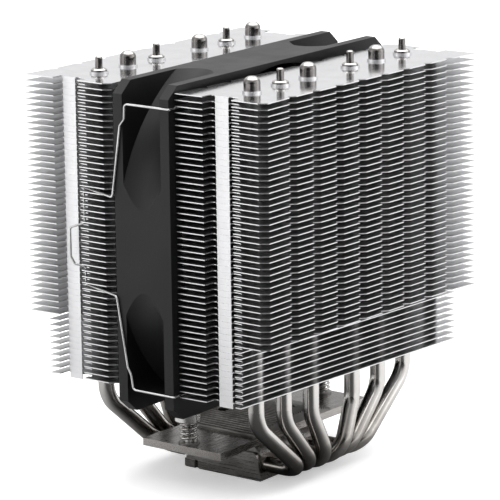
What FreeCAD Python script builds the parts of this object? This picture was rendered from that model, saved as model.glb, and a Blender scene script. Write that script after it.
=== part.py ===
"""Twin-tower processor cooler: two stacks of thin fins on six bent heat pipes, a fan between the
stacks held by two wire clips, and a base with a spring-screw mounting bracket.

Units are millimetres. The origin is the centre of the contact face, +Z is up, +X is the way the
air leaves the fan, and the fins are long in Y. The cooler repeats itself when it is turned half a
turn about Z: the left tower and the far clip are the right tower and the near clip turned over.
"""
import FreeCAD, Part
import math
import os

os.makedirs("parts", exist_ok=True)
V = FreeCAD.Vector
X_AXIS = V(1, 0, 0)
Y_AXIS = V(0, 1, 0)
Z_AXIS = V(0, 0, 1)
ORIGIN = V(0, 0, 0)

# ---- driving dimensions ----
# fin stacks
TOP_Z = 151.5
FIN_PITCH = 2.25
FIN_T = 0.35
WIDE_FINS = 39
NARROW_FINS = 10
TOWER_X = 34.65
FIN_HALF_X = 21.8
FIN_HALF_Y = 61.7
FAN_TIP_Y = 62.2
FAN_STEP_X = 10.05
OUTER_TIP_Y = 62.4
OUTER_STEP_X = 8.7
SEAM_GAP = 0.03

# heat pipes
PIPE_R = 3.0
PIPE_FIT = 0.02
PIPE_TOWER_Y = (12.9, 29.5, 46.1)
PIPE_BASE_Y = (3.15, 9.5, 16.85)
PIPE_BASE_X = (36.0, 34.0, 34.0)
PIPE_Z = 5.8
PIPE_KINK_Z = (27.0, 28.0, 30.0)
PIPE_BASE_BEND = 9.0
PIPE_TOP_BEND = 12.0
PIPE_SHOULDER = 1.3
DOME_TOP = 5.8
PINCH_R = 1.35
PINCH_TOP = 6.2
COLLAR_R = 3.45
COLLAR_H = 0.75

# base and bracket
BASE_HALF_X = 17.7
BASE_HALF_Y = 21.6
FOOT_H = 3.3
WEB_Y = 19.95
WEB_TOP_Z = 10.4
BRACKET_Z = 14.1
BRACKET_T = 2.8
BRACKET_HALF_X = 18.0
BRACKET_HALF_Y = 45.7
BRACKET_NECK_X = 17.2
NECK_HALF_Y = 23.0
PAD_INNER_Y = 36.0
COVER_HALF_X = 17.2
COVER_HALF_Y = 23.2
RIB_PITCH = 1.45
RIB_W = 0.95
RIB_H = 0.7
RIB_TAPER = 0.12
COVER_EDGE_H = 1.0
COVER_CROWN_H = 4.2

# spring screws
SCREW_Y = 41.2
SCREW_R = 1.75
SCREW_NECK_R = 1.3
SCREW_HEAD_R = 5.1
SCREW_HEAD_H = 3.6
SCREW_TIP_Z = 12.6
SPRING_H = 8.0
SPRING_R = 2.9
SPRING_WIRE_R = 0.5
SPRING_TURNS = 4
WASHER_R = 3.9
WASHER_T = 0.5
RING_R = 2.8
RING_T = 0.6
RING_SEAT_R = 3.2
RING_SEAT_Z = BRACKET_Z + 0.8

# fan
FAN_Z = TOP_Z - 58.4
FAN_HALF_T = 12.5
FAN_HALF_Y = 65.4
FAN_HALF_Z = 60.7
FAN_CORNER_Y = 5.2
FAN_CORNER_Z = 4.4
FLANGE_T = 4.0
DUCT_WAIST_R = 67.1
DUCT_FLARE_R = 15.5
DUCT_R = 59.2
HOLE_SPACING = 105.0
HOLE_R = 2.15
BLADES = 9
BLADE_TIP_R = 58.3
BLADE_T = 1.3
HUB_R = 20.0
HUB_WALL = 1.5
HUB_FRONT_X = -11.6
HUB_BACK_X = 7.6
MOTOR_PLATE_R = 20.5
MOTOR_PLATE_X = 9.2
STRUTS = 4
STRUT_GAP = 0.03
SHAFT_R = 1.5
SHAFT_FIT = 0.03
SLEEVE_R = 3.0
TUBE_R = 4.4

# wire clips
WIRE_R = 0.42
WIRE_GAP = 0.1
CLIP_Y = -(FAN_HALF_Y + WIRE_R + WIRE_GAP)
CLIP_X = FAN_HALF_T + WIRE_R + WIRE_GAP


# ---- helpers ----
def save(shape, name):
    """Write one node's solids to its own file."""
    shape.exportStep("parts/" + name + ".step")


def box(x0, x1, y0, y1, z0, z1):
    return Part.makeBox(x1 - x0, y1 - y0, z1 - z0, V(x0, y0, z0))


def x_rod(radius, x0, x1, y, z):
    return Part.makeCylinder(radius, x1 - x0, V(x0, y, z), X_AXIS)


def z_rod(radius, z0, z1, x=0.0, y=0.0):
    return Part.makeCylinder(radius, z1 - z0, V(x, y, z0), Z_AXIS)


def x_tube(outer, inner, x0, x1, y=0.0, z=FAN_Z):
    return x_rod(outer, x0, x1, y, z).cut(x_rod(inner, x0 - 1, x1 + 1, y, z))


def half_turn(shape):
    """The same shape turned half a turn about the cooler's vertical axis."""
    turned = shape.copy()
    turned.rotate(ORIGIN, Z_AXIS, 180)
    return turned


def bent_path(points, radii):
    """A wire of straight runs through the points, with a tangent arc at each inner point."""
    edges = []
    start = points[0]
    for before, corner, after, radius in zip(points, points[1:], points[2:], radii):
        back = (before - corner).normalize()
        ahead = (after - corner).normalize()
        half = back.getAngle(ahead) / 2
        setback = radius / math.tan(half)
        bisector = (back + ahead).normalize()
        centre = corner + bisector * (radius / math.sin(half))
        first = corner + back * setback
        last = corner + ahead * setback
        edges.append(Part.LineSegment(start, first).toShape())
        edges.append(Part.Arc(first, centre - bisector * radius, last).toShape())
        start = last
    edges.append(Part.LineSegment(start, points[-1]).toShape())
    return Part.Wire(edges)


def round_bar(points, radii, radius):
    """A round bar or wire bent along the points."""
    path = bent_path(points, radii)
    section = Part.Wire(Part.Circle(points[0], points[1] - points[0], radius).toShape())
    return path.makePipeShell([section], True, True)


# ---- fin stacks ----
def fin_end(tip_u, corner_v, step_u):
    """Near end of a fin, from its corner to tip_u, as edges in the tower's own plane."""
    corner = V(-FIN_HALF_X, -corner_v, 0)
    strip_v = -57.85
    hook_v = strip_v - 1.4
    tip = [V(2.75, -FIN_HALF_Y, 0), V(tip_u, -FIN_HALF_Y, 0)]
    inner = V(-step_u + 0.1, strip_v + 0.1, 0)
    step = [corner, V(-step_u, -FIN_HALF_Y, 0), inner]
    dimple = Part.Arc(inner, V(inner.x + 0.6, strip_v + 0.6, 0), V(-7.5, strip_v, 0)).toShape()
    slot = [V(-7.5, strip_v, 0), V(-1.3, strip_v, 0), V(-1.1, strip_v + 1.0, 0)]
    slot += [V(2.2, strip_v + 1.0, 0), V(3.0, strip_v, 0)]
    hook = Part.Arc(V(3.0, strip_v, 0), V(3.7, strip_v - 0.7, 0), V(3.0, hook_v, 0)).toShape()
    lip = Part.makePolygon([V(3.0, hook_v, 0), V(2.75, hook_v, 0)] + tip)
    floor = Part.makePolygon(slot).Edges
    return Part.makePolygon(step).Edges + [dimple] + floor + [hook] + lip.Edges


def toothed_side(corner_v):
    """Long edge of a wide fin: eight teeth, drifting outwards to the far corner."""
    teeth = 8
    tooth_pitch = 13.26
    first_v = -47.0
    first_u = 16.9
    drift = 0.0344
    points = [V(14.2, -FIN_HALF_Y, 0), V(17.0, -59.6, 0)]
    for tooth in range(teeth):
        v = first_v + tooth * tooth_pitch
        u = first_u + drift * (v - first_v)
        points += [V(u, v, 0), V(u - 1.9, v + 1.7, 0), V(u + 0.15, v + 4.0, 0)]
    points.append(V(FIN_HALF_X, corner_v, 0))
    return Part.makePolygon(points).Edges


def turned_edges(edges):
    return [half_turn(edge) for edge in edges]


def fin_plate(outline):
    """One fin under z = 0 with its pipe holes and the folded tab at each end."""
    plate = Part.Face(Part.Wire(Part.__sortEdges__(outline))).extrude(V(0, 0, -FIN_T))
    tab = box(-7.3, -1.55, -57.85, -57.85 + FIN_T, -FIN_PITCH + SEAM_GAP, -FIN_T / 2)
    plate = plate.fuse([tab, half_turn(tab)]).removeSplitter()
    holes = [
        z_rod(PIPE_R + PIPE_FIT, -FIN_PITCH, 1, 0, side * y) for y in PIPE_TOWER_Y for side in (-1, 1)
    ]
    return plate.cut(holes)


def wide_fin():
    near = fin_end(14.2, FAN_TIP_Y, FAN_STEP_X) + toothed_side(OUTER_TIP_Y)
    far = fin_end(14.2, OUTER_TIP_Y, OUTER_STEP_X) + toothed_side(FAN_TIP_Y)
    return fin_plate(near + turned_edges(far))


def narrow_fin():
    near_u = 5.2
    far_u = 12.8
    end = fin_end(near_u, FAN_TIP_Y, FAN_STEP_X)
    fan_side = turned_edges(toothed_side(FAN_TIP_Y))
    far_end = turned_edges(fin_end(14.2, OUTER_TIP_Y, OUTER_STEP_X))
    outer = Part.makePolygon(
        [V(near_u, -FIN_HALF_Y, 0), V(far_u, OUTER_TIP_Y, 0), V(OUTER_STEP_X, FIN_HALF_Y, 0)]
    ).Edges
    return fin_plate(end + outer + far_end[1:] + fan_side)


def fin_group(fin, first, count):
    """Copies of a fin from level first down, on the right tower."""
    copies = []
    for level in range(first, first + count):
        copy = fin.copy()
        copy.translate(V(TOWER_X, 0, TOP_Z - level * FIN_PITCH))
        copies.append(copy)
    return Part.makeCompound(copies)


def top_fin(fin):
    """The top fin, with a raised collar round each pipe."""
    fin = fin.copy()
    fin.translate(V(TOWER_X, 0, TOP_Z))
    collars = []
    for y in PIPE_TOWER_Y:
        for side in (-1, 1):
            ring = z_rod(COLLAR_R, TOP_Z - FIN_T / 2, TOP_Z + COLLAR_H, TOWER_X, side * y)
            bore = z_rod(PIPE_R + PIPE_FIT, TOP_Z - 1, TOP_Z + 2, TOWER_X, side * y)
            collars.append(ring.cut(bore))
    return fin.fuse(collars).removeSplitter()


# ---- heat pipes ----
def pipe_end(x, y, pinched):
    """Closed top of a pipe: a pinched-off filling pin on a shoulder, or a round dome."""
    shoulder_z = TOP_Z + PIPE_SHOULDER
    if pinched:
        pin_top = TOP_Z + PINCH_TOP
        pin = z_rod(PINCH_R, shoulder_z - 0.3, pin_top, x, y)
        rim = [edge for edge in pin.Edges if abs(edge.BoundBox.ZMin - pin_top) < 0.01]
        pin = pin.makeFillet(0.8, rim[:1])
        cone = Part.makeCone(PIPE_R, PIPE_R - 0.7, 0.5, V(x, y, shoulder_z), Z_AXIS)
        return cone.fuse(pin)
    barrel = z_rod(PIPE_R, shoulder_z, TOP_Z + DOME_TOP, x, y)
    rim = [edge for edge in barrel.Edges if abs(edge.BoundBox.ZMin - TOP_Z - DOME_TOP) < 0.01]
    return barrel.makeFillet(PIPE_R - 0.6, rim[:1])


def heat_pipe(index, side):
    """One U-shaped pipe. Its two ends differ: one is domed and the other is pinched off."""
    tower_y = side * PIPE_TOWER_Y[index]
    base_y = side * PIPE_BASE_Y[index]
    base_x = PIPE_BASE_X[index]
    top_z = TOP_Z + PIPE_SHOULDER
    right = [
        V(base_x, base_y, PIPE_Z),
        V(TOWER_X, tower_y, PIPE_KINK_Z[index]),
        V(TOWER_X, tower_y, top_z),
    ]
    left = [V(-point.x, point.y, point.z) for point in reversed(right)]
    radii = [PIPE_TOP_BEND, PIPE_BASE_BEND, PIPE_BASE_BEND, PIPE_TOP_BEND]
    bar = round_bar(left + right, radii, PIPE_R)
    number = index if side > 0 else -1 - index
    right_pinched = number % 2 == 0
    ends = [
        pipe_end(TOWER_X, tower_y, right_pinched),
        pipe_end(-TOWER_X, tower_y, not right_pinched),
    ]
    return bar.fuse(ends).removeSplitter()


# ---- base ----
def pipe_channels():
    reach = BASE_HALF_X + 2
    return [
        x_rod(PIPE_R + PIPE_FIT, -reach, reach, side * y, PIPE_Z)
        for y in PIPE_BASE_Y
        for side in (-1, 1)
    ]


def contact_plate():
    """Plated copper plate: a flat foot and the lower halves of the pipe channels."""
    foot = box(-BASE_HALF_X, BASE_HALF_X, -BASE_HALF_Y, BASE_HALF_Y, 0, FOOT_H)
    lower_rim = [edge for edge in foot.Edges if edge.BoundBox.ZMax < 0.01]
    foot = foot.makeChamfer(0.35, lower_rim)
    saddle = box(-BASE_HALF_X + 1, BASE_HALF_X - 1, -WEB_Y, WEB_Y, FOOT_H - 1, PIPE_Z)
    slit = box(-13.1, -11.3, -BASE_HALF_Y - 1, -BASE_HALF_Y + 1.2, -1, FOOT_H + 1)
    return foot.fuse(saddle).removeSplitter().cut(pipe_channels() + [slit, half_turn(slit)])


def end_web():
    """Web at the far end of the block: it stands on the foot and narrows to a rounded top."""
    foot_x = BASE_HALF_X - 0.5
    top_x = BASE_HALF_X - 1.9
    outline = [
        V(-foot_x, WEB_Y, FOOT_H),
        V(foot_x, WEB_Y, FOOT_H),
        V(top_x, WEB_Y, WEB_TOP_Z),
        V(-top_x, WEB_Y, WEB_TOP_Z),
    ]
    face = Part.Face(Part.makePolygon(outline + outline[:1]))
    web = face.extrude(V(0, BASE_HALF_Y - 0.1 - WEB_Y, 0))
    shoulders = [
        edge
        for edge in web.Edges
        if edge.BoundBox.ZMin > WEB_TOP_Z - 0.01 and edge.BoundBox.XLength < 0.01
    ]
    return web.makeFillet(2.0, shoulders)


def base_block():
    """Block over the pipes, with a web at each end standing on the foot."""
    core = box(-BASE_HALF_X + 1, BASE_HALF_X - 1, -WEB_Y, WEB_Y, PIPE_Z, BRACKET_Z)
    top = [
        edge
        for edge in core.Edges
        if edge.BoundBox.ZMin > BRACKET_Z - 0.01 and edge.BoundBox.YLength > 1
    ]
    core = core.makeChamfer(4.5, top)
    web = end_web()
    block = core.fuse([web, half_turn(web)]).removeSplitter()
    return block.cut(pipe_channels() + [block_screw_hole(x, y) for x, y in block_screw_places()])


def block_screw_places():
    """Places of the two screws that hold the cover and the bracket on the block."""
    return [(side * 9.0, side * 8.7) for side in (-1, 1)]


def block_screw_hole(x, y):
    return z_rod(1.0, BRACKET_Z - 5.0, BRACKET_Z + BRACKET_T + 9, x, y)


def bracket_outline():
    """Quarter by quarter: wide end, straight side, hollow curve to the neck."""
    points = [
        V(BRACKET_HALF_X, -BRACKET_HALF_Y, 0),
        V(BRACKET_HALF_X, -PAD_INNER_Y, 0),
        V(BRACKET_NECK_X, -NECK_HALF_Y, 0),
        V(BRACKET_NECK_X, NECK_HALF_Y, 0),
        V(BRACKET_HALF_X, PAD_INNER_Y, 0),
        V(BRACKET_HALF_X, BRACKET_HALF_Y, 0),
    ]
    end_side = Part.makePolygon(points[:2]).Edges
    neck_side = Part.makePolygon(points[2:4]).Edges
    far_side = Part.makePolygon(points[4:6]).Edges
    hollow = V(BRACKET_NECK_X + 0.25, -NECK_HALF_Y - 7.4, 0)
    near_curve = Part.Arc(points[1], hollow, points[2]).toShape()
    far_curve = Part.Arc(points[3], V(hollow.x, -hollow.y, 0), points[4]).toShape()
    right = end_side + [near_curve] + neck_side + [far_curve] + far_side
    ends = Part.makePolygon([V(-BRACKET_HALF_X, -BRACKET_HALF_Y, 0), points[0]]).Edges
    return right + turned_edges(right) + ends + turned_edges(ends)


def mounting_bracket():
    face = Part.Face(Part.Wire(Part.__sortEdges__(bracket_outline())))
    plate = face.extrude(V(0, 0, BRACKET_T))
    plate.translate(V(0, 0, BRACKET_Z))
    holes = [z_rod(SCREW_R + 0.35, 0, 40, 0, side * SCREW_Y) for side in (-1, 1)]
    holes += [z_rod(RING_SEAT_R, 0, RING_SEAT_Z, 0, side * SCREW_Y) for side in (-1, 1)]
    holes += [block_screw_hole(x, y) for x, y in block_screw_places()]
    return plate.cut(holes)


def cover_height(y):
    """Height of the cover's arch above the bracket at y, without its ribs."""
    return COVER_EDGE_H + (COVER_CROWN_H - COVER_EDGE_H) * (1 - (y / COVER_HALF_Y) ** 2)


def ribbed_cover():
    """Arched cover with ribs along X, its side profile drawn as steps in the YZ plane."""
    floor_z = BRACKET_Z + BRACKET_T
    ribs = int(2 * COVER_HALF_Y / RIB_PITCH)
    first_y = -(ribs - 1) * RIB_PITCH / 2
    points = [V(0, -COVER_HALF_Y, floor_z)]
    for rib in range(ribs):
        y = first_y + rib * RIB_PITCH
        low = floor_z + cover_height(y) - RIB_H
        high = floor_z + cover_height(y)
        left = max(y - RIB_PITCH / 2, -COVER_HALF_Y)
        right = min(y + RIB_PITCH / 2, COVER_HALF_Y)
        points += [V(0, left, low), V(0, y - RIB_W / 2, low), V(0, y - RIB_W / 2 + RIB_TAPER, high)]
        points += [V(0, y + RIB_W / 2 - RIB_TAPER, high), V(0, y + RIB_W / 2, low), V(0, right, low)]
    points += [V(0, COVER_HALF_Y, floor_z), points[0]]
    arch = Part.Face(Part.makePolygon(points)).extrude(V(2 * COVER_HALF_X, 0, 0))
    arch.translate(V(-COVER_HALF_X, 0, 0))
    seats = [z_rod(2.1, floor_z + 0.6, floor_z + 9, x, y) for x, y in block_screw_places()]
    return arch.cut(seats + [block_screw_hole(x, y) for x, y in block_screw_places()])


def cover_screws():
    """Two small pan-head screws, sunk between the ribs, through the cover and the bracket."""
    seat_z = BRACKET_Z + BRACKET_T + 0.6
    screws = []
    for x, y in block_screw_places():
        shank = z_rod(0.97, BRACKET_Z - 4.8, seat_z + 0.5, x, y)
        head = z_rod(1.9, seat_z, seat_z + 1.2, x, y)
        drive = box(x - 1.2, x + 1.2, y - 0.25, y + 0.25, seat_z + 0.6, seat_z + 2)
        cross = box(x - 0.25, x + 0.25, y - 1.2, y + 1.2, seat_z + 0.6, seat_z + 2)
        screws.append(head.fuse(shank).cut([drive, cross]).removeSplitter())
    return Part.makeCompound(screws)


# ---- spring screws, modelled at the near end ----
WASHER_Z = BRACKET_Z + BRACKET_T
HEAD_Z = WASHER_Z + WASHER_T + SPRING_H


def spring_screw():
    groove_z = RING_SEAT_Z - RING_T
    shank = z_rod(SCREW_R, SCREW_TIP_Z, HEAD_Z, 0, -SCREW_Y)
    groove = z_rod(SCREW_R + 1, groove_z - 0.1, groove_z + RING_T + 0.02, 0, -SCREW_Y)
    groove = groove.cut(z_rod(SCREW_NECK_R, 0, 40, 0, -SCREW_Y))
    head = z_rod(SCREW_HEAD_R, HEAD_Z, HEAD_Z + SCREW_HEAD_H, 0, -SCREW_Y)
    rims = [edge for edge in head.Edges if edge.BoundBox.XLength > 1]
    head = head.makeChamfer(0.35, rims)
    drives = [
        box(-2.6, 2.6, -SCREW_Y - 0.5, -SCREW_Y + 0.5, HEAD_Z + 1.2, HEAD_Z + 9),
        box(-0.5, 0.5, -SCREW_Y - 2.6, -SCREW_Y + 2.6, HEAD_Z + 1.2, HEAD_Z + 9),
    ]
    return head.fuse(shank.cut(groove)).cut(drives).removeSplitter()


def screw_spring():
    """Compression spring between the washer and the screw's head."""
    clear = SPRING_WIRE_R + 0.05
    rise = SPRING_H - 2 * clear
    helix = Part.makeHelix(rise / SPRING_TURNS, rise, SPRING_R)
    start = V(SPRING_R, 0, 0)
    section = Part.Wire(Part.Circle(start, Y_AXIS, SPRING_WIRE_R).toShape())
    coil = Part.Wire(helix.Edges).makePipeShell([section], True, True)
    coil.translate(V(0, -SCREW_Y, WASHER_Z + WASHER_T + clear))
    return coil


def spring_washer():
    disc = z_rod(WASHER_R, WASHER_Z, WASHER_Z + WASHER_T, 0, -SCREW_Y)
    return disc.cut(z_rod(SCREW_R + 0.25, 0, 40, 0, -SCREW_Y))


def retaining_ring():
    """E-ring in the screw's groove, sunk in the bracket's underside, that keeps the screw in."""
    z0 = RING_SEAT_Z - RING_T
    ring = z_rod(RING_R, z0 - 0.05, z0 + RING_T - 0.05, 0, -SCREW_Y)
    bore = z_rod(SCREW_NECK_R + 0.05, 0, 40, 0, -SCREW_Y)
    mouth = box(-1.0, 1.0, -SCREW_Y - 4, -SCREW_Y, 0, 40)
    return ring.cut([bore, mouth])


# ---- fan ----
def octagon(x0, x1):
    corner_y = FAN_HALF_Y - FAN_CORNER_Y
    corner_z = FAN_HALF_Z - FAN_CORNER_Z
    quarter = [(FAN_HALF_Y, corner_z), (corner_y, FAN_HALF_Z)]
    ring = quarter + [(-y, z) for y, z in reversed(quarter)]
    ring += [(-y, -z) for y, z in quarter] + [(y, -z) for y, z in reversed(quarter)]
    points = [V(x0, y, FAN_Z + z) for y, z in ring]
    return Part.Face(Part.makePolygon(points + points[:1])).extrude(V(x1 - x0, 0, 0))


def clip_holes():
    """Near pair through the +X flange and far pair through the other, for the clips' ends."""
    half = HOLE_SPACING / 2
    inner = FAN_HALF_T - FLANGE_T - 1
    near = [x_rod(HOLE_R, inner, FAN_HALF_T + 1, -half, FAN_Z + lift * half) for lift in (-1, 1)]
    return near + [half_turn(hole) for hole in near]


def duct_blank(x0, x1):
    """Solid round duct, hollow-ground outside, so that it flares out to the flanges."""
    waist = Part.makeTorus(DUCT_WAIST_R + DUCT_FLARE_R, DUCT_FLARE_R, V(0, 0, FAN_Z), X_AXIS)
    return x_rod(DUCT_WAIST_R + 4, x0, x1, 0, FAN_Z).cut(waist)


def fan_frame():
    """Duct between two eight-sided flanges, open at the corners between them."""
    body = octagon(-FAN_HALF_T, FAN_HALF_T)
    inner = FAN_HALF_T - FLANGE_T
    waste = octagon(-inner, inner).cut(duct_blank(-inner, inner))
    bore = x_rod(DUCT_R, -20, 20, 0, FAN_Z)
    return body.cut([waste, bore] + clip_holes())


def motor_mount():
    """Round motor plate with its bearing tube and the struts that end on the duct's wall."""
    parts = [x_tube(TUBE_R, SLEEVE_R + 0.01, -8.0, MOTOR_PLATE_X + 0.5)]
    for strut in range(STRUTS):
        arm = box(MOTOR_PLATE_X + 0.4, FAN_HALF_T - 0.6, MOTOR_PLATE_R - 2, DUCT_R + 0.8, -1.8, 1.8)
        arm.translate(V(0, 0, FAN_Z))
        arm.rotate(V(0, 0, FAN_Z), X_AXIS, 30 + strut * 360 / STRUTS)
        parts.append(arm.common(x_rod(DUCT_R - STRUT_GAP, -20, 20, 0, FAN_Z)))
    plate = x_rod(MOTOR_PLATE_R, MOTOR_PLATE_X, FAN_HALF_T - 0.6, 0, FAN_Z)
    mount = plate.fuse(parts).removeSplitter()
    outlet = box(MOTOR_PLATE_X - 1, FAN_HALF_T - 2.1, 16.5, MOTOR_PLATE_R + 2, FAN_Z - 16, FAN_Z - 11)
    return mount.cut(outlet)


def blade():
    """One swept and twisted blade, lofted through flat sections from hub to tip."""
    sections = []
    stations = 5
    for station in range(stations):
        share = station / (stations - 1)
        radius = HUB_R - 2.0 + share * (BLADE_TIP_R - HUB_R + 3.0)
        twist = math.radians(52 - 22 * share)
        chord = 14.5 + 9.0 * share
        sweep = -14 * share * share
        half_t = BLADE_T / 2 * (1.2 - 0.5 * share)
        along = V(math.sin(math.pi / 2 - twist), math.cos(math.pi / 2 - twist), 0)
        across = V(-along.y, along.x, 0)
        corners = []
        for run, rise in ((-1, -1), (1, -1), (1, 1), (-1, 1)):
            local = along * (run * chord / 2) + across * (rise * half_t)
            corners.append(V(local.x - 1.8, local.y, radius))
        section = Part.makePolygon(corners + corners[:1])
        section.rotate(ORIGIN, X_AXIS, sweep)
        section.translate(V(0, 0, FAN_Z))
        sections.append(section)
    vane = Part.makeLoft(sections, True, False)
    tip = x_rod(BLADE_TIP_R, -FAN_HALF_T, FAN_HALF_T, 0, FAN_Z)
    return vane.common(tip.cut(x_rod(HUB_R - 0.5, -20, 20, 0, FAN_Z)))


def fan_rotor():
    """Hub cup, open towards the motor, with its blades."""
    cup = x_rod(HUB_R, HUB_FRONT_X, HUB_BACK_X, 0, FAN_Z)
    rim = [edge for edge in cup.Edges if edge.BoundBox.XMax < HUB_FRONT_X + 0.01]
    cup = cup.makeFillet(2.0, rim[:1])
    hollow = x_rod(HUB_R - HUB_WALL, HUB_FRONT_X + HUB_WALL, HUB_BACK_X + 1, 0, FAN_Z)
    boss = x_tube(3.4, SHAFT_R - 0.01, HUB_FRONT_X + HUB_WALL - 0.2, HUB_FRONT_X + HUB_WALL + 1.8)
    vane = blade()
    blades = []
    for number in range(BLADES):
        copy = vane.copy()
        copy.rotate(V(0, 0, FAN_Z), X_AXIS, number * 360 / BLADES)
        blades.append(copy)
    return cup.cut(hollow).fuse([boss] + blades)


def stator_core():
    """Four-pole laminated core on the bearing tube."""
    x0 = -3.5
    x1 = 3.5
    ring = x_tube(7.4, TUBE_R + 0.02, x0, x1)
    poles = []
    for pole in range(4):
        arm = box(x0, x1, 7.0, 13.2, -1.4, 1.4)
        shoe = x_tube(14.9, 13.0, x0, x1, 0, 0).common(box(x0, x1, 0, 20, -8.2, 8.2))
        limb = arm.fuse(shoe)
        limb.translate(V(0, 0, FAN_Z))
        limb.rotate(V(0, 0, FAN_Z), X_AXIS, 45 + 90 * pole)
        poles.append(limb)
    return ring.fuse(poles).removeSplitter()


def stator_coils():
    """A winding round each pole."""
    coils = []
    for pole in range(4):
        winding = box(-5.3, 5.3, 7.9, 12.4, -3.3, 3.3)
        edges = [edge for edge in winding.Edges if edge.BoundBox.YLength > 4]
        winding = winding.makeFillet(1.4, edges)
        winding = winding.cut(box(-3.52, 3.52, 7, 14, -1.42, 1.42))
        winding.translate(V(0, 0, FAN_Z))
        winding.rotate(V(0, 0, FAN_Z), X_AXIS, 45 + 90 * pole)
        coils.append(winding)
    return Part.makeCompound(coils)


def fan_parts():
    save(fan_frame(), "fan_frame")
    save(motor_mount(), "motor_mount")
    save(fan_rotor(), "fan_rotor")
    inside = HUB_R - HUB_WALL - 0.01
    save(x_tube(inside, inside - 1.0, HUB_FRONT_X + 2.2, 6.6), "rotor_yoke")
    save(x_tube(inside - 1.01, inside - 2.8, HUB_FRONT_X + 3.4, 5.0), "rotor_magnet")
    groove = x_tube(SHAFT_R + 1, 1.1, 8.2, 8.8)
    save(x_rod(SHAFT_R, HUB_FRONT_X + HUB_WALL + 0.02, 9.1, 0, FAN_Z).cut(groove), "rotor_shaft")
    save(x_tube(2.3, 1.11, 8.25, 8.75), "shaft_retainer")
    save(x_tube(SLEEVE_R, SHAFT_R + SHAFT_FIT, -8.0, 8.0), "bearing_sleeve")
    save(stator_core(), "stator_core")
    save(stator_coils(), "stator_coils")
    save(x_tube(15.2, TUBE_R + 0.02, 5.6, 6.8), "fan_circuit_board")
    save(x_rod(17.5, FAN_HALF_T - 0.6, FAN_HALF_T - 0.3, 0, FAN_Z), "motor_plate_disc")


# ---- wire clips, modelled at the near side ----
UPPER_Z = TOP_Z - 5.35
LOWER_Z = TOP_Z - 109.6


def fan_hook(z):
    """End of a clip: through a fan hole and along the flange to its edge."""
    hole_y = -HOLE_SPACING / 2
    points = [
        V(FAN_HALF_T - FLANGE_T + 0.3, hole_y, z),
        V(CLIP_X, hole_y, z),
        V(CLIP_X, CLIP_Y + WIRE_R + WIRE_GAP, z),
    ]
    return round_bar(points, [0.9], WIRE_R)


def fan_clip():
    """The bow of a clip: two arms, two legs between fins, and a finger loop in the middle."""
    slot_x = -32.6
    slot_y = -58.6
    loop_x = -37.8
    loop_y = -60.7
    upper_leg = TOP_Z - 39.85
    lower_leg = TOP_Z - 75.85
    points = [
        V(CLIP_X, CLIP_Y, UPPER_Z),
        V(-6.9, CLIP_Y, UPPER_Z),
        V(-7.2, CLIP_Y, UPPER_Z - 5.6),
        V(-9.2, CLIP_Y, UPPER_Z - 8.0),
        V(-13.3, CLIP_Y, upper_leg),
        V(slot_x, slot_y, upper_leg),
        V(slot_x, slot_y, TOP_Z - 53.0),
        V(loop_x, loop_y, TOP_Z - 54.9),
        V(loop_x, loop_y, TOP_Z - 65.6),
        V(-36.2, loop_y + 0.3, TOP_Z - 68.3),
        V(slot_x, slot_y, TOP_Z - 69.2),
        V(slot_x, slot_y, lower_leg),
        V(-12.3, CLIP_Y, lower_leg),
        V(-7.8, CLIP_Y, LOWER_Z + 8.0),
        V(-6.3, CLIP_Y, LOWER_Z + 5.4),
        V(-5.4, CLIP_Y, LOWER_Z),
        V(CLIP_X, CLIP_Y, LOWER_Z),
    ]
    radii = [1.4, 1.4, 1.4, 1.6, 1.0, 1.0, 1.3, 1.3, 1.0, 1.0, 1.0, 1.6, 1.4, 1.4, 1.4]
    bow = round_bar(points, radii, WIRE_R)
    knuckles = [Part.makeSphere(WIRE_R, point) for point in (points[0], points[-1])]
    return bow.fuse(knuckles)


def main():
    fin = wide_fin()
    slim = narrow_fin()
    stacks = {
        "top_fin": top_fin(fin),
        "wide_fins": fin_group(fin, 1, WIDE_FINS),
        "narrow_fins": fin_group(slim, 1 + WIDE_FINS, NARROW_FINS),
    }
    for name, stack in stacks.items():
        save(stack, "right_" + name)
        save(half_turn(stack), "left_" + name)

    pipe_number = 1
    for side, order in ((-1, (2, 1, 0)), (1, (0, 1, 2))):
        for index in order:
            save(heat_pipe(index, side), "heat_pipe_" + str(pipe_number))
            pipe_number += 1

    save(contact_plate(), "contact_plate")
    save(base_block(), "base_block")
    save(mounting_bracket(), "mounting_bracket")
    save(ribbed_cover(), "ribbed_cover")
    save(cover_screws(), "cover_screws")

    near_pieces = {
        "spring_screw": spring_screw(),
        "screw_spring": screw_spring(),
        "spring_washer": spring_washer(),
        "retaining_ring": retaining_ring(),
        "fan_hooks": Part.makeCompound([fan_hook(UPPER_Z), fan_hook(LOWER_Z)]),
        "fan_clip": fan_clip(),
    }
    for name, piece in near_pieces.items():
        save(piece, name + "_near")
        save(half_turn(piece), name + "_far")

    fan_parts()


main()
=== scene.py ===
"""The tower cooler in a plain white studio: node materials on the CAD pieces, floor, lights, camera."""

import math

import bpy
from mathutils import Matrix, Vector


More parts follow.
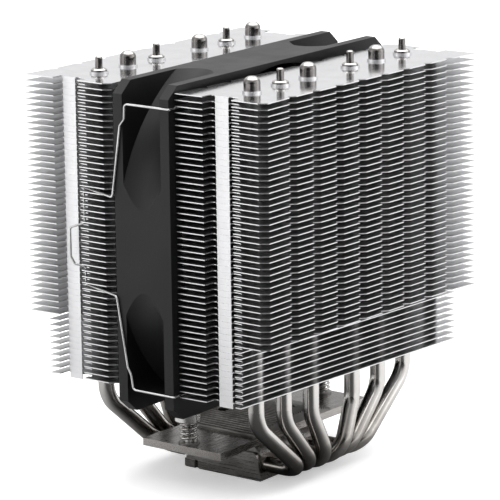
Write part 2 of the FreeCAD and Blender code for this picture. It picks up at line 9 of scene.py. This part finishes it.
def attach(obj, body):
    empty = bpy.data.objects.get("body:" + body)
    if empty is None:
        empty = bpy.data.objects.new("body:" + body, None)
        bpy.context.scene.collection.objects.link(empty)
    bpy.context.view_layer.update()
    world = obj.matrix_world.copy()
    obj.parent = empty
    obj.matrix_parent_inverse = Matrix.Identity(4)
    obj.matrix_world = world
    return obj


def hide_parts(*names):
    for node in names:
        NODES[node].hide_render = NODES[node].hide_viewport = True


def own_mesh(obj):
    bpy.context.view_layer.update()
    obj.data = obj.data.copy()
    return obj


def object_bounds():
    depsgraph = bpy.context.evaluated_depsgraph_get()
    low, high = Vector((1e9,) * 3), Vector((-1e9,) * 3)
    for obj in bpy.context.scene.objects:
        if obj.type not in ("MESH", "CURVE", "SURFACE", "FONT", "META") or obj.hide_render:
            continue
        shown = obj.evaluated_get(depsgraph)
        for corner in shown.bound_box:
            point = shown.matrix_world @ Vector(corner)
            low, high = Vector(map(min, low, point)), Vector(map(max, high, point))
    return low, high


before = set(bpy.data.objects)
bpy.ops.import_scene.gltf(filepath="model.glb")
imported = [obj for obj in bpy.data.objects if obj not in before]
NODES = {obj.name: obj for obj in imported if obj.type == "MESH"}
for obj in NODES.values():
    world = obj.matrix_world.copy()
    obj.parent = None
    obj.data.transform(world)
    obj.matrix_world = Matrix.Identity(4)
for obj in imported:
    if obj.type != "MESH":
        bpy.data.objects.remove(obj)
cad_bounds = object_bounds()

MM = 0.001
X, Y, Z = 0, 1, 2


# ---- node building ----
class Paint:
    """A Principled material, built one node at a time. Its pattern sizes are in millimetres."""

    def __init__(self, name, metallic, roughness, **fixed):
        self.material = bpy.data.materials.new(name)
        self.material.use_nodes = True
        self.tree = self.material.node_tree
        self.shader = self.tree.nodes["Principled BSDF"]
        self.shader.inputs["Metallic"].default_value = metallic
        self.shader.inputs["Roughness"].default_value = roughness
        for socket, value in fixed.items():
            self.shader.inputs[socket.replace("_", " ")].default_value = value
        self.coords = self.add("ShaderNodeTexCoord")
        self.bumps = None

    def add(self, kind, **settings):
        node = self.tree.nodes.new(kind)
        for key, value in settings.items():
            setattr(node, key, value)
        return node

    def feed(self, socket, value):
        """Link an output to the socket, or set the socket to a plain value."""
        if isinstance(value, bpy.types.NodeSocket):
            self.tree.links.new(value, socket)
        else:
            socket.default_value = value

    def noise(self, size, detail=3.0, stretch=(1, 1, 1), seed=0.0):
        """Grey noise whose lumps are about size millimetres across, times stretch along each axis."""
        mapping = self.add("ShaderNodeMapping")
        mapping.inputs["Scale"].default_value = [1 / (size * MM * s) for s in stretch]
        mapping.inputs["Location"].default_value = (seed, seed, seed)
        self.feed(mapping.inputs["Vector"], self.coords.outputs["Object"])
        noise = self.add("ShaderNodeTexNoise")
        noise.inputs["Scale"].default_value = 1.0
        noise.inputs["Detail"].default_value = detail
        self.feed(noise.inputs["Vector"], mapping.outputs["Vector"])
        return noise.outputs["Fac"]

    def math(self, operation, first, second=0.0):
        node = self.add("ShaderNodeMath", operation=operation)
        self.feed(node.inputs[0], first)
        self.feed(node.inputs[1], second)
        return node.outputs[0]

    def ramp(self, value, low, high, start=0.0, end=1.0):
        """Start at or under low, end at or over high, smooth between them."""
        node = self.add("ShaderNodeMapRange", interpolation_type="SMOOTHSTEP")
        self.feed(node.inputs["Value"], value)
        node.inputs["From Min"].default_value = low
        node.inputs["From Max"].default_value = high
        node.inputs["To Min"].default_value = start
        node.inputs["To Max"].default_value = end
        return node.outputs["Result"]

    def mix(self, factor, first, second):
        """Blend of two colours."""
        node = self.add("ShaderNodeMix", data_type="RGBA")
        self.feed(node.inputs[0], factor)
        for socket, value in ((node.inputs[6], first), (node.inputs[7], second)):
            self.feed(socket, value if isinstance(value, bpy.types.NodeSocket) else (*value, 1.0))
        return node.outputs[2]

    def place(self, axis):
        """Position along one axis of the cooler, in metres."""
        split = self.add("ShaderNodeSeparateXYZ")
        self.feed(split.inputs[0], self.coords.outputs["Object"])
        return split.outputs[axis]

    def along(self, direction):
        """Distance from the centre along a level direction, in metres."""
        node = self.add("ShaderNodeVectorMath", operation="DOT_PRODUCT")
        self.feed(node.inputs[0], self.coords.outputs["Object"])
        node.inputs[1].default_value = direction
        return node.outputs["Value"]

    def radius(self):
        """Distance from the centre, in metres."""
        node = self.add("ShaderNodeVectorMath", operation="LENGTH")
        self.feed(node.inputs[0], self.coords.outputs["Object"])
        return node.outputs["Value"]

    def facing(self, axis):
        """How squarely the surface faces along an axis, either way: 0 to 1."""
        split = self.add("ShaderNodeSeparateXYZ")
        self.feed(split.inputs[0], self.coords.outputs["Normal"])
        return self.math("ABSOLUTE", split.outputs[axis])

    def colour(self, value):
        self.feed(self.shader.inputs["Base Color"], value)

    def roughness(self, value):
        self.feed(self.shader.inputs["Roughness"], value)

    def bump(self, height, depth):
        """Raise the surface by height (0 to 1) times depth millimetres, on top of earlier bumps."""
        node = self.add("ShaderNodeBump")
        node.inputs["Strength"].default_value = 1.0
        node.inputs["Distance"].default_value = depth * MM
        self.feed(node.inputs["Height"], height)
        if self.bumps is not None:
            self.feed(node.inputs["Normal"], self.bumps)
        self.bumps = node.outputs["Normal"]
        self.feed(self.shader.inputs["Normal"], self.bumps)


def put_on(paint, *names):
    """Give CAD nodes this material."""
    for name in names:
        data = NODES[name].data
        data.materials.clear()
        data.materials.append(paint.material)


# ---- materials ----
# The folded tabs' tone is a share of the cut edges' tone.
TAB_SHARE = 1.13
# Inner fin faces: darker than the cut edges and the top fin's faces, a painted shade for the gaps
# between stacked fins.
FIN_FACE_PAINTED_SHADE = (0.55, 0.55, 0.56)
FIN_EDGE = (0.7, 0.7, 0.71)
TOP_FIN_FACE = (0.88, 0.88, 0.9)
# Upright sides of the pipe ends above the fins: a painted dark reflection of the room.
PIPE_END_PAINTED_REFLECTION = (0.2, 0.19, 0.185)
PIPE_END_Z = cad_bounds[1][Z] - 6 * MM
# Heights between which the pipes' painted dark reflection near the base fades out, going up.
PIPE_BENT_Z = 34 * MM
PIPE_FOOT_Z = 8 * MM


def fin_sheet(name, face, edge, face_roughness):
    """Thin rolled aluminium: grained faces, sheared edges with fine punch marks, bright end tabs. A
    face tone darker than the edges' tone is a painted shade for the gaps between stacked fins.
    """
    paint = Paint(name, 1.0, 0.3)
    flat = paint.ramp(paint.facing(Z), 0.4, 0.7)
    grain = paint.noise(0.5, 4.0, (1.0, 22.0, 1.0))
    cloud = paint.noise(9.0, 2.0)
    shear = paint.noise(0.16, 2.0, (1.0, 1.0, 5.0))
    # Face tone with cloudy wear; for the inner fins this tone is also a painted shade.
    face_wear_and_painted_shade = paint.mix(paint.ramp(cloud, 0.35, 0.7), face, [0.93 * c for c in face])
    cut = paint.mix(paint.ramp(shear, 0.3, 0.7), [0.82 * c for c in edge], edge)
    tab = paint.ramp(paint.facing(Y), 0.97, 0.99)
    cut = paint.mix(tab, cut, [TAB_SHARE * c for c in edge])
    paint.colour(paint.mix(flat, cut, face_wear_and_painted_shade))
    face_rough = paint.ramp(grain, 0.3, 0.7, face_roughness - 0.03, face_roughness + 0.05)
    edge_rough = paint.ramp(shear, 0.3, 0.7, 0.34, 0.5)
    blend = paint.add("ShaderNodeMix", data_type="FLOAT")
    for index, value in ((0, flat), (2, edge_rough), (3, face_rough)):
        paint.feed(blend.inputs[index], value)
    paint.roughness(blend.outputs[0])
    paint.bump(grain, 0.004)
    return paint


def plated(name, bright, dull, roughness, lump=6.0, stretch=(1, 1, 1), grain_depth=0.003, top=1.0):
    """Nickel plate: slow cloudy change of tone, fine polishing grain and small handling marks. Faces
    towards ±Z can be darkened as a painted dark reflection.
    """
    paint = Paint(name, 1.0, roughness)
    cloud = paint.noise(lump, 3.0)
    grain = paint.noise(0.35, 4.0, stretch)
    marks = paint.noise(1.7, 6.0, seed=3.0)
    tone = paint.mix(paint.ramp(cloud, 0.35, 0.68), bright, dull)
    # Painted dark reflection: faces towards ±Z get a given share of the bright tone.
    if top < 1.0:
        tone = paint.mix(paint.ramp(paint.facing(Z), 0.5, 0.8), tone, [top * c for c in bright])
    paint.colour(paint.mix(paint.ramp(marks, 0.62, 0.72, 0.0, 0.35), tone, [0.7 * c for c in dull]))
    paint.roughness(paint.ramp(grain, 0.3, 0.7, roughness * 0.8, roughness * 1.3))
    paint.bump(grain, grain_depth)
    return paint


def pipe_plating():
    """Bright nickel on the pipes. Towards the base it turns darker and a little browner, a painted dark
    reflection of the floor. The upright sides of the sealed ends above the fins are dark grey, a
    painted dark reflection of the room.
    """
    bright = (0.56, 0.545, 0.53)
    dull = (0.3, 0.28, 0.26)
    paint = Paint("pipe_nickel", 1.0, 0.16)
    # Painted dark reflection: the pipes darken towards the base, in cloudy patches.
    low = paint.ramp(paint.place(Z), PIPE_FOOT_Z, PIPE_BENT_Z, 1.0, 0.0)
    cloud = paint.noise(4.0, 3.0)
    drawn = paint.noise(0.22, 3.0, (1.0, 1.0, 30.0))
    low_painted_reflection = paint.math("MULTIPLY", low, paint.ramp(cloud, 0.3, 0.6, 0.7, 1.0))
    # Painted dark reflection on the upright sides of the pipe ends above the fins.
    upright = paint.ramp(paint.facing(Z), 0.45, 0.75, 1.0, 0.0)
    end = paint.math("MULTIPLY", upright, paint.ramp(paint.place(Z), PIPE_END_Z, PIPE_END_Z + MM))
    paint.colour(paint.mix(end, paint.mix(low_painted_reflection, bright, dull), PIPE_END_PAINTED_REFLECTION))
    paint.roughness(paint.ramp(drawn, 0.3, 0.7, 0.13, 0.22))
    paint.bump(drawn, 0.0025)
    return paint


def moulded(name, colour, roughness, grain_depth=0.012, tower_side_painted_shade=1.0):
    """Moulded black plastic: spark-eroded grain, cloudy sheen and faint scuffs.

    The faces towards the towers (±X) can get a given share of the tone and of the sheen: painted shade
    from the towers beside them.
    """
    paint = Paint(name, 0.0, roughness, IOR=1.36)
    grain = paint.noise(0.28, 3.0)
    cloud = paint.noise(14.0, 3.0)
    scuff = paint.noise(1.2, 6.0, (1.0, 6.0, 1.0), 7.0)
    lighter = [1.5 * c for c in colour]
    tone = paint.mix(paint.ramp(cloud, 0.35, 0.7), colour, [1.15 * c for c in colour])
    tone = paint.mix(paint.ramp(scuff, 0.63, 0.75, 0.0, 0.4), tone, lighter)
    if tower_side_painted_shade < 1.0:
        # Painted shade: the faces towards the towers are darker and have less sheen.
        beside = paint.ramp(paint.facing(X), 0.6, 0.9, 1.0, tower_side_painted_shade)
        tone = paint.mix(beside, (0.0, 0.0, 0.0), tone)
        paint.feed(paint.shader.inputs["Specular IOR Level"], paint.math("MULTIPLY", beside, 0.5))
    paint.colour(tone)
    paint.roughness(paint.ramp(cloud, 0.3, 0.7, roughness - 0.04, roughness + 0.05))
    paint.bump(grain, grain_depth)
    return paint


def wound_copper():
    """Varnished copper wire: fine turns along the coil."""
    paint = Paint("copper_turns", 0.85, 0.3)
    turns = paint.add("ShaderNodeTexWave", wave_type="BANDS", bands_direction="X")
    paint.feed(turns.inputs["Vector"], paint.coords.outputs["Object"])
    turns.inputs["Scale"].default_value = 900.0
    turns.inputs["Distortion"].default_value = 0.6
    paint.colour(paint.mix(turns.outputs["Fac"], (0.36, 0.13, 0.05), (0.75, 0.34, 0.16)))
    paint.bump(turns.outputs["Fac"], 0.05)
    return paint


def circuit_board():
    """Green solder mask with a faint pattern of tracks."""
    paint = Paint("solder_mask", 0.0, 0.35, Coat_Weight=0.4)
    cells = paint.add("ShaderNodeTexVoronoi", feature="DISTANCE_TO_EDGE")
    paint.feed(cells.inputs["Vector"], paint.coords.outputs["Object"])
    cells.inputs["Scale"].default_value = 350.0
    track = paint.ramp(cells.outputs["Distance"], 0.05, 0.12)
    paint.colour(paint.mix(track, (0.02, 0.16, 0.07), (0.012, 0.09, 0.035)))
    paint.bump(track, 0.02)
    return paint


def laminated(name, colour):
    """Stacked steel sheets: fine lines across the axle's direction."""
    paint = Paint(name, 1.0, 0.42)
    sheets = paint.add("ShaderNodeTexWave", wave_type="BANDS", bands_direction="X")
    paint.feed(sheets.inputs["Vector"], paint.coords.outputs["Object"])
    sheets.inputs["Scale"].default_value = 320.0
    paint.colour(paint.mix(sheets.outputs["Fac"], [0.55 * c for c in colour], colour))
    paint.bump(sheets.outputs["Fac"], 0.03)
    return paint


# The inner fins' faces carry painted shade.
put_on(
    fin_sheet("fin_aluminium", FIN_FACE_PAINTED_SHADE, FIN_EDGE, 0.36),
    "left_wide_fins",
    "right_wide_fins",
    "left_narrow_fins",
    "right_narrow_fins",
)
put_on(fin_sheet("top_fin_aluminium", TOP_FIN_FACE, FIN_EDGE, 0.13), "left_top_fin", "right_top_fin")
put_on(pipe_plating(), *[f"heat_pipe_{number}" for number in range(1, 7)])
base_nickel = plated("base_nickel", (0.46, 0.44, 0.425), (0.34, 0.32, 0.305), 0.3, 7.0, (30, 1, 1))
put_on(base_nickel, "contact_plate", "base_block")
# The bracket's flat faces are darkened to half, a painted dark reflection of the fan above.
put_on(
    plated("bracket_nickel", (0.42, 0.4, 0.385), (0.36, 0.34, 0.325), 0.26, 9.0, (1, 26, 1), top=0.5),
    "mounting_bracket",
)
put_on(
    plated("cover_metal", (0.2, 0.19, 0.18), (0.14, 0.133, 0.128), 0.36, 5.0, (24, 1, 1)),
    "ribbed_cover",
)
put_on(
    plated("screw_plating", (0.84, 0.83, 0.82), (0.68, 0.67, 0.65), 0.2, 3.0),
    "cover_screws",
    "spring_screw_near",
    "spring_screw_far",
)
put_on(
    plated("washer_plating", (0.3, 0.29, 0.28), (0.22, 0.21, 0.2), 0.4, 3.0),
    "spring_washer_near",
    "spring_washer_far",
)
put_on(
    plated("spring_steel", (0.66, 0.65, 0.63), (0.45, 0.43, 0.41), 0.2, 2.0),
    "screw_spring_near",
    "screw_spring_far",
    "retaining_ring_near",
    "retaining_ring_far",
    "shaft_retainer",
    "rotor_shaft",
)
put_on(
    plated("clip_wire", (0.7, 0.7, 0.7), (0.5, 0.5, 0.5), 0.2, 8.0, (1, 1, 20)),
    "fan_clip_near",
    "fan_clip_far",
    "fan_hooks_near",
    "fan_hooks_far",
)
# Fan frame and motor mount: faces towards the towers darkened, a painted shade.
put_on(moulded("fan_black", (0.011, 0.011, 0.012), 0.46, tower_side_painted_shade=0.65), "fan_frame", "motor_mount")
put_on(moulded("rotor_black", (0.012, 0.012, 0.013), 0.4, 0.006), "fan_rotor")
put_on(moulded("plain_disc", (0.06, 0.06, 0.065), 0.5, 0.004), "motor_plate_disc")
put_on(moulded("bonded_ferrite", (0.05, 0.05, 0.05), 0.7, 0.03), "rotor_magnet")
put_on(laminated("core_steel", (0.5, 0.5, 0.52)), "stator_core")
put_on(plated("yoke_steel", (0.45, 0.45, 0.46), (0.36, 0.36, 0.37), 0.35), "rotor_yoke")
put_on(plated("sintered_bronze", (0.55, 0.39, 0.2), (0.42, 0.29, 0.15), 0.45, 2.0), "bearing_sleeve")
put_on(wound_copper(), "stator_coils")
put_on(circuit_board(), "fan_circuit_board")


# ---- springs ----
def pressed_spring(end):
    """The screw's spring as a piece of its own on the heatsink: a copy of the CAD spring, which is
    hidden.
    """
    node = NODES[f"screw_spring_{end}"]
    coil = bpy.data.objects.new(f"coil_{end}", node.data.copy())
    coil.matrix_world = node.matrix_world
    bpy.context.scene.collection.objects.link(coil)
    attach(coil, "heatsink")
    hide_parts(f"screw_spring_{end}")
    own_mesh(coil)


pressed_spring("near")
pressed_spring("far")


# ---- studio ----
# Strengths of the room as reflections see it, and shares of tone for the floor.
WALL_LIGHT = 0.85
CEILING_LIGHT = 0.8
GAP_LIGHT = 0.04
RIGHT_LIGHT = 1.6
CARD_TONE = 0.04
LEFT_TONE = 0.55
FLOOR_FILL = 0.45


def pale_floor():
    """A wide pale floor under the contact face. In reflections a dark card lies in front of it."""
    half = 12.0
    mesh = bpy.data.meshes.new("floor")
    corners = [(-half, -half, 0), (half, -half, 0), (half, half, 0), (-half, half, 0)]
    mesh.from_pydata(corners, [], [(0, 1, 2, 3)])
    floor = bpy.data.objects.new("floor", mesh)
    bpy.context.scene.collection.objects.link(floor)
    paint = Paint("pale_floor", 0.0, 0.75)
    cloud = paint.noise(160.0, 2.0)
    pale = paint.mix(cloud, (0.88, 0.88, 0.88), (0.91, 0.91, 0.91))
    ahead = paint.along((0.6, -0.8, 0.0))
    across = paint.along((0.8, 0.6, 0.0))
    beside = paint.math("SUBTRACT", paint.math("ABSOLUTE", across), paint.math("MULTIPLY", ahead, 0.4))
    card = paint.ramp(beside, 0.0, 0.1, CARD_TONE, 1.0)
    left = paint.ramp(across, -0.12, 0.0, LEFT_TONE, 1.0)
    near = paint.ramp(paint.radius(), 0.2, 0.32)
    side = paint.math("MAXIMUM", left, near)
    path = paint.add("ShaderNodeLightPath")
    seen = path.outputs["Is Camera Ray"]
    tone = paint.math("MAXIMUM", paint.math("MULTIPLY", card, side), seen)
    paint.colour(paint.mix(tone, (0.0, 0.0, 0.0), pale))
    paint.feed(paint.shader.inputs["Emission Color"], pale)
    paint.feed(paint.shader.inputs["Emission Strength"], paint.math("MULTIPLY", seen, FLOOR_FILL))
    mesh.materials.append(paint.material)


def soft_light(name, place, target, width, height, power):
    """A rectangular softbox that the camera doesn't see."""
    light = bpy.data.lights.new(name, "AREA")
    light.shape = "RECTANGLE"
    light.size = width
    light.size_y = height
    light.energy = power
    lamp = bpy.data.objects.new(name, light)
    lamp.location = place
    lamp.rotation_euler = (Vector(target) - Vector(place)).to_track_quat("-Z", "Y").to_euler()
    lamp.visible_camera = False
    bpy.context.scene.collection.objects.link(lamp)


def studio_world():
    """White to the camera. To everything else: a bright room with a dark gap on the camera's side."""
    world = bpy.data.worlds.new("studio")
    bpy.context.scene.world = world
    world.use_nodes = True
    tree = world.node_tree
    room = tree.nodes["Background"]
    coords = tree.nodes.new("ShaderNodeTexCoord")

    def toward(direction, low, high, start, end):
        """Start away from the direction, end close to it, by the cosine of the angle between."""
        dot = tree.nodes.new("ShaderNodeVectorMath")
        dot.operation = "DOT_PRODUCT"
        tree.links.new(coords.outputs["Generated"], dot.inputs[0])
        dot.inputs[1].default_value = Vector(direction).normalized()
        blend = tree.nodes.new("ShaderNodeMapRange")
        blend.interpolation_type = "SMOOTHSTEP"
        blend.inputs["From Min"].default_value = low
        blend.inputs["From Max"].default_value = high
        blend.inputs["To Min"].default_value = start
        blend.inputs["To Max"].default_value = end
        tree.links.new(dot.outputs["Value"], blend.inputs["Value"])
        return blend.outputs["Result"]

    def product(first, second):
        node = tree.nodes.new("ShaderNodeMath")
        node.operation = "MULTIPLY"
        tree.links.new(first, node.inputs[0])
        tree.links.new(second, node.inputs[1])
        return node.outputs[0]

    walls = toward((0, 0, 1), 0.35, 0.9, WALL_LIGHT, CEILING_LIGHT)
    gap = toward((0.6, -0.8, -0.1), 0.7, 0.95, 1.0, GAP_LIGHT)
    right = toward((0.85, 0.53, 0.1), 0.6, 0.95, 1.0, RIGHT_LIGHT)
    tree.links.new(product(product(walls, gap), right), room.inputs["Strength"])
    room.inputs["Color"].default_value = (1.0, 1.0, 1.0, 1.0)
    seen = tree.nodes.new("ShaderNodeBackground")
    seen.inputs["Strength"].default_value = 1.0
    path = tree.nodes.new("ShaderNodeLightPath")
    mix = tree.nodes.new("ShaderNodeMixShader")
    tree.links.new(path.outputs["Is Camera Ray"], mix.inputs[0])
    tree.links.new(room.outputs[0], mix.inputs[1])
    tree.links.new(seen.outputs[0], mix.inputs[2])
    tree.links.new(mix.outputs[0], tree.nodes["World Output"].inputs["Surface"])


def photo_camera():
    """Long lens from the corner between +X and -Y, looking a little down."""
    place = Vector((0.7354, -0.9691, 0.3692))
    yaw = -0.6506
    pitch = -0.2324
    roll = -0.0130
    ahead = Vector(
        (math.cos(pitch) * math.sin(yaw), math.cos(pitch) * math.cos(yaw), math.sin(pitch))
    )
    level = ahead.cross(Vector((0, 0, 1))).normalized()
    upright = level.cross(ahead)
    right = level * math.cos(roll) + upright * math.sin(roll)
    up = upright * math.cos(roll) - level * math.sin(roll)
    camera = bpy.data.objects.new("camera", bpy.data.cameras.new("camera"))
    camera.data.sensor_width = 36.0
    camera.data.lens = 242.8
    camera.data.clip_end = 60.0
    turn = Matrix((right, up, -ahead)).transposed()
    camera.matrix_world = Matrix.Translation(place) @ turn.to_4x4()
    bpy.context.scene.collection.objects.link(camera)
    bpy.context.scene.camera = camera


pale_floor()
studio_world()
MIDDLE = (0, 0, 0.08)
soft_light("key_left", (-0.95, -1.3, 0.6), MIDDLE, 0.6, 1.2, 1.5)
soft_light("key_right", (1.5, 0.9, 0.5), MIDDLE, 0.8, 1.2, 3)
soft_light("overhead", (0.0, 0.2, 2.0), MIDDLE, 3.2, 3.2, 62)
photo_camera()
bpy.context.scene.view_settings.view_transform = "Standard"
